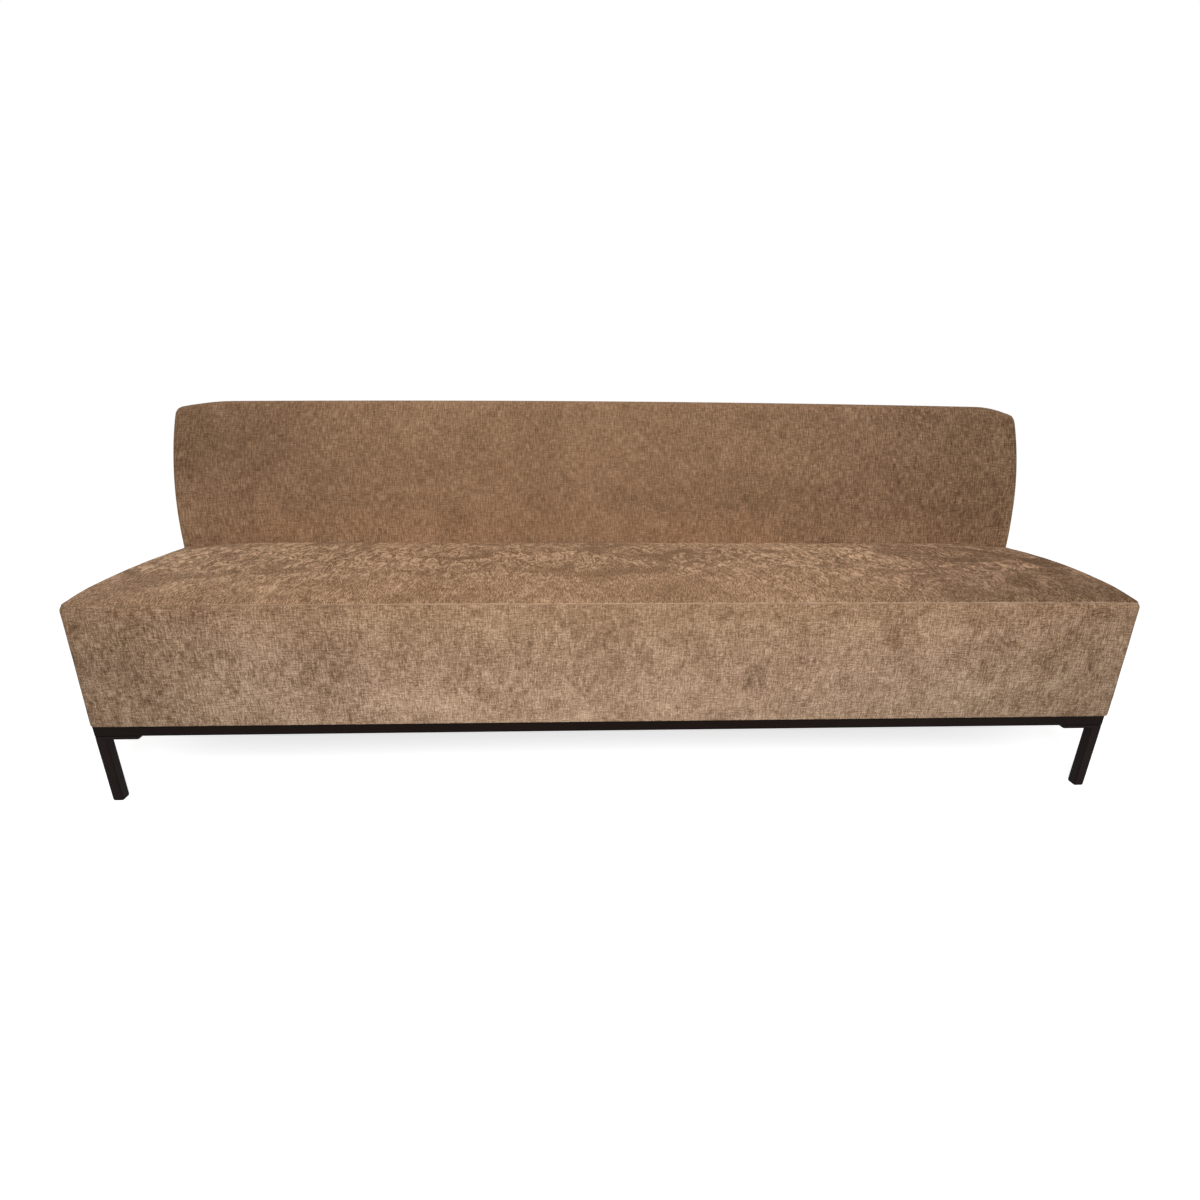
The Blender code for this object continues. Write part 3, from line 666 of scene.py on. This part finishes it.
# Back: laid out flat as x, depth and height up the face, and then bent
back = {
    "step": 0.0138,
    "gap": 0.0003,  # to the rear of the seat
    "thickness": 0.0895,
    "rim": 0.0015,  # cloth turned in round the outer panel
    "recess": 0.0025,
    "recessTaper": 0.0003,
    "curveZ": 0.4806,  # where the face starts to lean
    "curveRadius": 0.640,
    "curveLength": 0.383,
    "edgeRadius": 0.022,
    "edgeSegments": 16,
    "rearRadius": 0.004,
    "rearSegments": 4,
    "cornerRadius": 0.034,
    "cornerSegments": 8,
    "hemRadius": 0.003,
    "hemSegments": 3,
    "topCrown": 0.010,  # rise of the top edge at half length
    "topReach": 0.12,
    "topTilt": (-0.0055, 0.0035),  # the right end sits a little higher than the left
    "endPinch": 0.5,  # the end edges are tighter than the top edge
    "endLean": ((0.0054, 0.0078), (-0.0009, 0.0048)),  # each end's padding, at the seat and at the top
    "endFrom": 0.9,
    "endFades": (0.07, 0.025),  # depths where the padding ends and is full
    "cornerDroop": (0.0145, 0.0215),
    "cornerReach": (0.16, 0.116),
    "firmFrom": 0.043,  # depth where the frame holds the height
    # painted highlight: the depth over which the top edge is painted lighter
    "highlightFrom": 0.03,
    "crown": 0.008,
    "start": 0.4,
    "pressure": 1.0,
    "frames": 20,
    "swell": 0.005,
    "heldBelow": 0.02,  # below the top of the seat
    "faceReach": 1e-4,
    "fill": 0.9,
    "ripple": 0.0008,
    "rippleLong": 5.0,
    "rippleShort": 17.0,
    "rippleShare": 0.35,
    "rippleShift": Vector((7.0, 3.0, 5.0)),
    "seamTurn": 1.05,  # angle round the edge where the end gusset is sewn on
    "seamWidth": 0.0016,
    "seamRidge": 0.0005,
    "seamDipAt": 0.0036,
    "seamDipWidth": 0.0022,
    "seamDip": 0.0006,
    "seamUneven": 0.5,
    "seamUnevenScale": 45.0,
}
backFace = seatHigh.y + back["gap"]
backTop = back["curveZ"] + back["curveLength"]


def bendBack(point):
    radius = back["curveRadius"]
    turn = max(0.0, point.z - back["curveZ"]) / radius
    y = backFace + radius - (radius - point.y) * math.cos(turn)
    z = min(point.z, back["curveZ"]) + (radius - point.y) * math.sin(turn)
    return Vector((point.x, y, z))


def backTurn(point):  # 0 on the end, a quarter turn on the face
    radius = back["edgeRadius"]
    out = max(0.0, abs(point.x) - (backHigh.x - radius))
    ahead = max(0.0, radius - point.y)
    return math.atan2(ahead, out) if ahead or out else math.pi / 2


def backRise(point):
    along = point.x / backHigh.x
    end = 0 if along < 0.0 else 1
    near = smoothStep(back["cornerReach"][end], 0.0, backHigh.x - abs(point.x))
    droop = back["cornerDroop"][end] * near ** 2
    soft = smoothStep(back["firmFrom"], back["edgeRadius"], point.y)
    left, right = back["topTilt"]
    tilt = left + (right - left) * (along + 1.0) / 2
    rise = back["topCrown"] * (1.0 - along ** 2) + soft * (tilt - droop)
    return rise * smoothStep(backTop - back["topReach"], backTop - back["edgeRadius"], point.z)


def backCloth(point):
    if backTurn(point) > back["seamTurn"]:
        return point.x, point.z + point.y
    corner = back["cornerRadius"]
    across = abs(point.x) - (backHigh.x - corner)
    up = point.z - (backTop - corner)
    if across > 0.0 and up > 0.0:
        return point.y, backTop - corner + corner * math.atan2(up, across)
    return point.y, point.z


def buildBack():
    deep = back["thickness"]
    bm = blockBetween((backLow.x, 0.0, backLow.z), (backHigh.x, deep, backTop))
    corners = [e for e in bm.edges if runsAlong(e, 1) and liesAt(e, 2, backTop)]
    roundEdges(bm, corners, back["cornerRadius"], back["cornerSegments"])
    rim = [e for e in bm.edges if liesAt(e, 1, 0.0) and not liesAt(e, 2, backLow.z)]
    roundEdges(bm, rim, back["edgeRadius"], back["edgeSegments"])
    rear = [e for e in bm.edges if liesAt(e, 1, deep) and not liesAt(e, 2, backLow.z)]
    roundEdges(bm, rear, back["rearRadius"], back["rearSegments"])
    hem = [e for e in bm.edges if liesAt(e, 2, backLow.z)]
    roundEdges(bm, hem, back["hemRadius"], back["hemSegments"])
    behind = [f for f in bm.faces if liesAt(f, 1, deep)]
    bmesh.ops.inset_region(bm, faces=behind, thickness=back["rim"], use_even_offset=True)
    bmesh.ops.inset_region(
        bm, faces=behind, thickness=back["recessTaper"], depth=-back["recess"], use_even_offset=True
    )
    margin = back["cornerRadius"]
    cutAcross(bm, 1, evenly(back["edgeRadius"], deep - back["rearRadius"], back["step"]))
    cutAcross(bm, 2, evenly(backLow.z + back["hemRadius"], backTop - margin, back["step"]))
    cutAcross(bm, 0, evenly(backLow.x + margin, backHigh.x - margin, back["step"]))
    piece = makePiece("back_upholstery", bm, [chenilleBack])
    mesh = piece.data
    flat = [v.co.copy() for v in mesh.vertices]
    for vertex, point in zip(mesh.vertices, flat):
        along = point.x / backHigh.x
        up = min(1.0, max(0.0, (point.z - seatHigh.z) / (backTop - back["edgeRadius"] - seatHigh.z)))
        atFace = smoothStep(deep / 2, 0.0, point.y)
        shaped = point.copy()
        inside = backHigh.x - abs(point.x)
        if inside < back["edgeRadius"]:
            shaped.x = math.copysign(backHigh.x - inside * back["endPinch"], point.x)
        low, high = back["endLean"][0 if along < 0.0 else 1]
        lean = (low + (high - low) * up) * smoothStep(back["endFrom"], 1.0, abs(along))
        shaped.x += math.copysign(lean, along) * smoothStep(*back["endFades"], point.y)
        shaped.y -= back["start"] * back["crown"] * (1.0 - along ** 2) * math.sin(math.pi * up) * atFace
        shaped.z += backRise(point)
        vertex.co = bendBack(shaped)
    low = backLow.z + back["hemRadius"]
    sewn = [
        i for i, point in enumerate(flat)
        if not seatTop - back["heldBelow"] <= point.z <= backTop - back["edgeRadius"]
        or point.y > back["faceReach"]
    ]
    swell(piece, sewn, back)
    held = set(sewn)
    ripple(mesh, [0.0 if i in held else 1.0 for i in range(len(flat))], back)
    offsets = []
    for point in flat:
        turn = backTurn(point)
        onEdge = 0.0 < turn < math.pi / 2 and point.z > low
        offsets.append((turn - back["seamTurn"]) * back["edgeRadius"] if onEdge else None)
    sewSeam(mesh, offsets, back)
    layCloth(mesh, [backCloth(point) for point in flat])
    # painted highlight: a mask for the back's top edge, which is painted lighter where it turns from the
    # lamps
    wearAndHighlight = mesh.attributes.new("wearAndHighlight", "FLOAT", "POINT")
    for vertex, point in zip(mesh.vertices, flat):
        wearAndHighlight.data[vertex.index].value = smoothStep(backTop - back["highlightFrom"], backTop, point.z + point.y)
    subdivide(piece)
    fitPiece(piece, ["back_cover", "back_foam"])


buildBack()
print("back done")


# Outer back: a plain panel stretched over the rear of the frame
outerBack = {
    "step": 0.016,
    "inset": 0.0064,
    "thickness": 0.0032,
    "edgeRadius": 0.0014,
    "edgeSegments": 3,
    "cornerRadius": 0.0276,
    "cornerSegments": 8,
}


def buildOuterBack():
    near = back["thickness"] - back["recess"] + back["gap"]
    far = near + outerBack["thickness"]
    half = backHigh.x - outerBack["inset"]
    top = backTop - outerBack["inset"]
    low = backLow.z + outerBack["inset"]
    bm = blockBetween((-half, near, low), (half, far, top))
    corners = [e for e in bm.edges if runsAlong(e, 1) and liesAt(e, 2, top)]
    roundEdges(bm, corners, outerBack["cornerRadius"], outerBack["cornerSegments"])
    edge = [e for e in bm.edges if liesAt(e, 1, far)]
    roundEdges(bm, edge, outerBack["edgeRadius"], outerBack["edgeSegments"])
    margin = outerBack["cornerRadius"]
    cutAcross(bm, 2, evenly(low + outerBack["edgeRadius"], top - margin, outerBack["step"]))
    cutAcross(bm, 0, evenly(-half + margin, half - margin, outerBack["step"]))
    piece = makePiece("back_outer_panel", bm, [chenilleBack])
    mesh = piece.data
    flat = [v.co.copy() for v in mesh.vertices]
    for vertex, point in zip(mesh.vertices, flat):
        shaped = point.copy()
        shaped.z += backRise(point)
        vertex.co = bendBack(shaped)
    layCloth(mesh, [(point.x, point.z) for point in flat])
    subdivide(piece)
    fitPiece(piece, ["back_outer_cover"])


buildOuterBack()
print("outer back done")


# Finishes of the base, legs, fixings and frame
finishes = {
    "legSteel": {
        "slot": "leg_steel", "colour": (0.0100, 0.0052, 0.0048), "wearAndHighlight": (0.013, 0.0075, 0.007),
        "metallic": 0.0, "roughness": 0.42, "swing": 0.12, "scale": 900.0, "bump": 0.15, "depth": 0.0003,
    },
    "glidePlastic": {
        "slot": "glide_plastic", "colour": (0.006, 0.006, 0.006), "wearAndHighlight": (0.012, 0.012, 0.012),
        "metallic": 0.0, "roughness": 0.55, "swing": 0.15, "scale": 1400.0, "bump": 0.1, "depth": 0.0002,
    },
    "zincFixing": {
        "slot": "fixings", "colour": (0.42, 0.42, 0.43), "wearAndHighlight": (0.56, 0.56, 0.55),
        "metallic": 1.0, "roughness": 0.36, "swing": 0.2, "scale": 700.0, "bump": 0.1, "depth": 0.0002,
    },
    "baseLacquer": {
        "slot": "base_lacquer", "colour": (0.0061, 0.0028, 0.0019), "wearAndHighlight": (0.0080, 0.0042, 0.0030),
        "metallic": 0.0, "roughness": 0.5, "swing": 0.14, "scale": 260.0, "bump": 0.12, "depth": 0.0004,
    },
    "pineBoard": {
        "slot": "frame_timber", "colour": (0.52, 0.35, 0.19), "wearAndHighlight": (0.66, 0.48, 0.29),
        "metallic": 0.0, "roughness": 0.7, "swing": 0.2, "scale": 120.0, "bump": 0.3, "depth": 0.0008,
    },
    "birchPly": {
        "slot": "plywood", "colour": (0.58, 0.43, 0.27), "wearAndHighlight": (0.70, 0.55, 0.37),
        "metallic": 0.0, "roughness": 0.65, "swing": 0.2, "scale": 160.0, "bump": 0.25, "depth": 0.0006,
    },
    "webbingStrap": {
        "slot": "webbing", "colour": (0.045, 0.038, 0.034), "wearAndHighlight": (0.075, 0.064, 0.056),
        "metallic": 0.0, "roughness": 0.85, "swing": 0.15, "scale": 600.0, "bump": 0.6, "depth": 0.0008,
    },
    "cambric": {
        "slot": "dust_cloth", "colour": (0.009, 0.009, 0.009), "wearAndHighlight": (0.015, 0.015, 0.015),
        "metallic": 0.0, "roughness": 0.95, "swing": 0.08, "scale": 1100.0, "bump": 0.4, "depth": 0.0005,
    },
}
finishShine = 0.045  # low, so that black stays black in a white studio
wearShows = (0.35, 0.7)


def coatedMaterial(name, look):
    material, tree, shader = newMaterial(name)
    given = {label: look[label.lower()] for label in ("Scale", "Roughness", "Swing")}
    given["Place"] = addNode(tree, "ShaderNodeTexCoord").outputs["Object"]
    grain = addNode(tree, "ShaderNodeGroup", given, node_tree=surfaceGrain)
    colour = ramp(tree, grain.outputs["Wear"], list(zip(wearShows, (look["colour"], look["wearAndHighlight"]))))
    tree.links.new(colour, shader.inputs["Base Color"])
    tree.links.new(grain.outputs["Roughness"], shader.inputs["Roughness"])
    shader.inputs["Metallic"].default_value = look["metallic"]
    shader.inputs["Specular IOR Level"].default_value = finishShine
    setNormal(tree, shader, grain.outputs["Height"], look["bump"], look["depth"])
    return material


finished = {look["slot"]: coatedMaterial(name, look) for name, look in finishes.items()}


# Dust cover: thin cloth stapled under the base, hanging a little between the rails
dustCover = {
    "step": 0.03,
    "thickness": 0.0009,
    "notch": 0.081,  # cut out round each leg plate
    "sag": 0.0045,
    "staple": 0.011,
    "stapleGap": 0.085,
    "stapleEdge": 0.006,  # from the edge of the cloth
    "stapleClear": 0.02,  # from a notch
    "stapleSlant": 0.12,
    "slantScale": 9.0,
    "slantSlice": 0.3,
    "wire": 0.0007,
    "wireWidth": 1.7,  # of its thickness
    "wireRounding": 0.3,
}
dustLow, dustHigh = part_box("dust_cover")
railLow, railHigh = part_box("base_rail_front")
railWidth = railHigh.y - railLow.y


def boxMiddle(name):
    low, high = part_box(name)
    return (low + high) / 2


dustBars = [
    dustLow.x, boxMiddle("base_crossbar_left").x, boxMiddle("base_crossbar_right").x, dustHigh.x
]


def dustSag(x, y):
    deep = (y - dustLow.y - railWidth) / (dustHigh.y - dustLow.y - 2 * railWidth)
    deep = min(1.0, max(0.0, deep))
    for low, high in zip(dustBars, dustBars[1:]):
        if low <= x <= high:
            across = min(1.0, max(0.0, (x - low - railWidth / 2) / (high - low - railWidth)))
            return dustCover["sag"] * math.sqrt(math.sin(math.pi * across) * math.sin(math.pi * deep))
    return 0.0


def buildDustCover():
    bm = bmesh.new()
    middle = boxMiddle("dust_cover")
    size = Matrix.Diagonal((dustHigh.x - dustLow.x, dustHigh.y - dustLow.y, 1.0, 1.0))
    low = dustHigh.z - dustCover["thickness"]
    place = Matrix.Translation((middle.x, middle.y, low))
    bmesh.ops.create_grid(bm, x_segments=1, y_segments=1, size=0.5, matrix=place @ size)
    notch = dustCover["notch"]
    xLines = [dustLow.x + notch, dustHigh.x - notch]
    yLines = [dustLow.y + notch, dustHigh.y - notch]
    cutAcross(bm, 0, xLines)
    cutAcross(bm, 1, yLines)
    corners = []
    for face in bm.faces:
        at = face.calc_center_median()
        if not xLines[0] < at.x < xLines[1] and not yLines[0] < at.y < yLines[1]:
            corners.append(face)
    bmesh.ops.delete(bm, geom=corners, context="FACES")
    cutAcross(bm, 0, evenly(xLines[0], xLines[1], dustCover["step"]))
    cutAcross(bm, 1, evenly(yLines[0], yLines[1], dustCover["step"]))
    walls = bmesh.ops.extrude_face_region(bm, geom=bm.faces[:])["geom"]
    raised = [v for v in walls if isinstance(v, bmesh.types.BMVert)]
    bmesh.ops.translate(bm, vec=(0.0, 0.0, dustCover["thickness"]), verts=raised)
    for vertex in bm.verts:
        vertex.co.z -= dustSag(vertex.co.x, vertex.co.y)
    piece = makePiece("dust_cover_cloth", bm, [finished["dust_cloth"]])
    fitPiece(piece, ["dust_cover"])


def buildStaples():
    bm = bmesh.new()
    spots = []
    edge = dustCover["stapleEdge"]
    wire = dustCover["wire"]
    scale = dustCover["slantScale"]
    notch = dustCover["notch"] + dustCover["stapleClear"]
    for x in evenly(dustLow.x + notch, dustHigh.x - notch, dustCover["stapleGap"]):
        spots += [(x, dustLow.y + edge, 0.0), (x, dustHigh.y - edge, 0.0)]
    for y in evenly(dustLow.y + notch, dustHigh.y - notch, dustCover["stapleGap"]):
        spots += [(dustLow.x + edge, y, math.pi / 2), (dustHigh.x - edge, y, math.pi / 2)]
    for x, y, turn in spots:
        uneven = noise.noise(Vector((x * scale, y * scale, dustCover["slantSlice"])))
        slant = turn + dustCover["stapleSlant"] * uneven
        place = Matrix.Translation((x, y, dustHigh.z - dustCover["thickness"] - wire / 2))
        size = Matrix.Diagonal((dustCover["staple"], wire * dustCover["wireWidth"], wire, 1.0))
        bmesh.ops.create_cube(bm, size=1.0, matrix=place @ Matrix.Rotation(slant, 4, "Z") @ size)
    roundEdges(bm, bm.edges[:], wire * dustCover["wireRounding"], 2)
    piece = makePiece("dust_cover_staples", bm, [finished["fixings"]])
    fitPiece(piece, [])


buildDustCover()
buildStaples()
print("dust cover done")


# Leg screws: pan heads with a cross recess
legScrew = {
    "radius": 0.006,
    "rise": 0.0029,
    "round": (0.8, 0.7),  # fullness of the head, outwards and downwards
    "roundSteps": 7,
    "seat": 0.003,  # height of the seated head
    "shank": 0.0029,
    "spinSteps": 24,
    "slot": 0.0012,
    "reach": 0.0034,
    "deep": 0.0017,
    "turn": 0.7,  # from each screw to the next
    "sharpFrom": 40.0,
}
screwNames = [name for name in frame["nodes"] if name.startswith("leg_screw_")]


def screwHead(bm, at, tip):
    steps = legScrew["roundSteps"]
    shank = legScrew["shank"]
    fuller, deeper = legScrew["round"]
    points = []
    for i in range(steps + 1):
        turn = math.pi / 2 * i / steps
        outward = legScrew["radius"] * math.sin(turn) ** fuller
        points.append(at + Vector((outward, 0.0, -legScrew["rise"] * math.cos(turn) ** deeper)))
    points.append(at + Vector((shank, 0.0, 0.0)))
    points.append(Vector((at.x + shank, at.y, tip - shank)))
    points.append(Vector((at.x, at.y, tip)))
    profile = [bm.verts.new(point) for point in points]
    edges = [bm.edges.new(pair) for pair in zip(profile, profile[1:])]
    bmesh.ops.spin(
        bm, geom=profile + edges, cent=at, axis=(0.0, 0.0, 1.0), angle=2 * math.pi,
        steps=legScrew["spinSteps"], use_merge=True
    )


def buildScrews():
    bm = bmesh.new()
    for name in screwNames:
        low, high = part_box(name)
        middle = boxMiddle(name)
        screwHead(bm, Vector((middle.x, middle.y, low.z + legScrew["seat"])), high.z)
    bmesh.ops.remove_doubles(bm, verts=bm.verts, dist=1e-6)
    piece = makePiece("leg_screws", bm, [finished["fixings"]])
    cutter = bmesh.new()
    for index, name in enumerate(screwNames):
        middle = boxMiddle(name)
        place = Matrix.Translation((middle.x, middle.y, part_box(name)[0].z))
        for quarter in (0.0, math.pi / 2):
            size = Matrix.Diagonal((2 * legScrew["reach"], legScrew["slot"], 2 * legScrew["deep"], 1.0))
            turn = Matrix.Rotation(quarter + legScrew["turn"] * index, 4, "Z")
            bmesh.ops.create_cube(cutter, size=1.0, matrix=place @ turn @ size)
    holes = makePiece("leg_screw_recesses", cutter, [])
    cut = piece.modifiers.new("recess", "BOOLEAN")
    cut.operation = "DIFFERENCE"
    cut.solver = "EXACT"
    cut.use_self = True
    cut.object = holes
    shown = piece.evaluated_get(bpy.context.evaluated_depsgraph_get())
    piece.data = bpy.data.meshes.new_from_object(shown)
    piece.modifiers.remove(cut)
    bpy.data.objects.remove(holes)
    piece.data.shade_smooth()
    piece.data.set_sharp_from_angle(angle=math.radians(legScrew["sharpFrom"]))
    fitPiece(piece, screwNames)


buildScrews()
print("leg screws done")


# Base, legs and frame keep their solids and get their finishes here

def dressNodes():
    slots = {s["node"]: s["material_slot"] for s in frame["record"]["subparts"]}
    for name, piece in frame["nodes"].items():
        material = finished.get(slots[name])
        if material and not piece.hide_render:
            piece.data.materials.clear()
            piece.data.materials.append(material)


dressNodes()
print("base and legs dressed")


# Studio: a white floor that keeps the shadow, a white surround, soft light and the camera
studio = {
    "floorSize": 40.0,
    "floorColour": (0.86, 0.86, 0.86),
    "floorRoughness": 0.9,
    "floorLift": 0.74,  # up to white in the picture
    "surround": 0.31,
    "lights": [
        {
            "name": "keyLight", "place": (0.0, -1.85, 1.55), "aim": (0.0, -0.1, 0.45),
            "size": (0.9, 0.7), "power": 36.0,
        },
        {
            "name": "topLight", "place": (0.0, -0.5, 2.6), "aim": (0.0, 0.0, 0.4),
            "size": (2.6, 1.4), "power": 8.0,
        },
    ],
    "camera": (-0.0951, -1.5082, 0.8938),
    "yaw": -0.0464,
    "pitch": -0.3396,
    "roll": -0.013,
    "focal": 622.5,  # in pixels of the picture
    "picture": 1200.0,
}


def seenWhite(tree):  # the picture, and what shines or is clear, show the white studio
    seen = addNode(tree, "ShaderNodeLightPath").outputs
    shining = combined(tree, "MAXIMUM", seen["Is Glossy Ray"], seen["Is Transmission Ray"])
    return combined(tree, "MAXIMUM", seen["Is Camera Ray"], shining)


def buildFloor():
    bm = bmesh.new()
    bmesh.ops.create_grid(bm, x_segments=1, y_segments=1, size=studio["floorSize"] / 2)
    material, tree, shader = newMaterial("studioFloor")
    shader.inputs["Base Color"].default_value = (*studio["floorColour"], 1.0)
    shader.inputs["Roughness"].default_value = studio["floorRoughness"]
    shader.inputs["Specular IOR Level"].default_value = 0.0
    lift = combined(tree, "MULTIPLY", seenWhite(tree), studio["floorLift"])
    glow = addNode(tree, "ShaderNodeEmission", {"Strength": lift})
    both = addNode(tree, "ShaderNodeAddShader", {0: shader.outputs[0], 1: glow.outputs[0]})
    below = addNode(tree, "ShaderNodeNewGeometry").outputs["Backfacing"]  # clear when seen from below
    clear = addNode(tree, "ShaderNodeBsdfTransparent")
    either = addNode(tree, "ShaderNodeMixShader", {0: below, 1: both.outputs[0], 2: clear.outputs[0]})
    tree.links.new(either.outputs[0], tree.nodes["Material Output"].inputs["Surface"])
    makePiece("floor", bm, [material])


def buildSurround():
    world = bpy.data.worlds.new("surround")
    scene.world = world
    world.use_nodes = True
    tree = world.node_tree
    light = tree.nodes["Background"]
    light.inputs["Color"].default_value = (1.0, 1.0, 1.0, 1.0)
    light.inputs["Strength"].default_value = studio["surround"]
    white = addNode(tree, "ShaderNodeBackground", {"Color": (1.0, 1.0, 1.0, 1.0), "Strength": 1.0})
    shown = addNode(
        tree, "ShaderNodeMixShader", {0: seenWhite(tree), 1: light.outputs[0], 2: white.outputs[0]}
    )
    tree.links.new(shown.outputs[0], tree.nodes["World Output"].inputs["Surface"])


def buildLights():
    for plan in studio["lights"]:
        lamp = bpy.data.lights.new(plan["name"], "AREA")
        lamp.shape = "RECTANGLE"
        lamp.size, lamp.size_y = plan["size"]
        lamp.energy = plan["power"]
        holder = bpy.data.objects.new(plan["name"], lamp)
        scene.collection.objects.link(holder)
        place = Vector(plan["place"])
        holder.location = place
        holder.rotation_euler = (Vector(plan["aim"]) - place).to_track_quat("-Z", "Y").to_euler()


def buildCamera():
    lens = bpy.data.cameras.new("camera")
    lens.sensor_width = 36.0
    lens.lens = lens.sensor_width * studio["focal"] / studio["picture"]
    holder = bpy.data.objects.new("camera", lens)
    scene.collection.objects.link(holder)
    ahead = Matrix.Rotation(math.pi / 2, 4, "X")
    turn = Matrix.Rotation(studio["yaw"], 4, "Z") @ Matrix.Rotation(studio["pitch"], 4, "X")
    turn = turn @ Matrix.Rotation(studio["roll"], 4, "Y") @ ahead
    holder.matrix_world = Matrix.Translation(studio["camera"]) @ turn
    scene.camera = holder


buildFloor()
buildSurround()
buildLights()
buildCamera()
scene.view_settings.view_transform = "Standard"
print("studio done")
